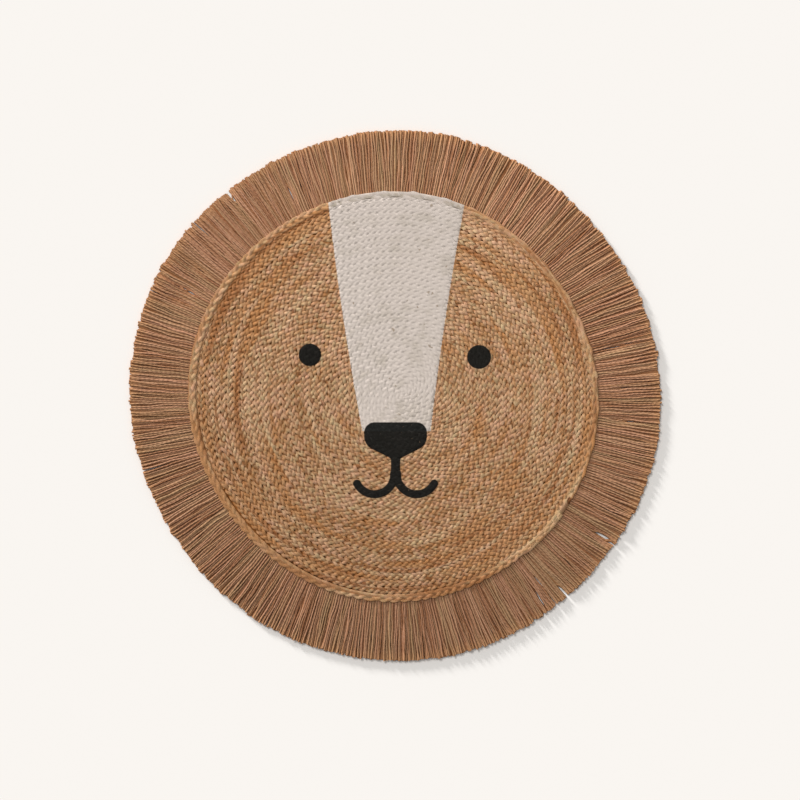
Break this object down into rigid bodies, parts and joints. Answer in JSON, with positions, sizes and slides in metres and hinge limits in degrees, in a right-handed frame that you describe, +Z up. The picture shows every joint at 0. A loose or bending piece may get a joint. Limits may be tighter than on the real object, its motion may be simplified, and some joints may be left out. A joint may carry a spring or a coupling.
{
  "type": "round fringed animal-face jute rug",
  "caption": "Round flat floor rug of coiled braided jute with a plump edge plait and a long yarn fringe all round, painted with a simple animal's face.",
  "frame": {"origin": "on the underside, in the middle of the fringe's cut edge", "axes": "+Z up through the rug, +Y towards the forehead of the painted face, +X to its right as seen from above"},
  "size_m": [1.007, 1.0057, 0.0113],
  "materials": {
    "jute_plait": "natural three-strand jute plait, matt, with a face in matt paint",
    "edge_jute_plait": "natural jute plait, matt, a little browner",
    "yarn_fringe": "soft twisted yarn, matt, brown"
  },
  "bodies": {
    "root": {"coiled_braid": "jute_plait", "edge_plait": "edge_jute_plait", "fringe": "yarn_fringe"}
  },
  "joints": []
}
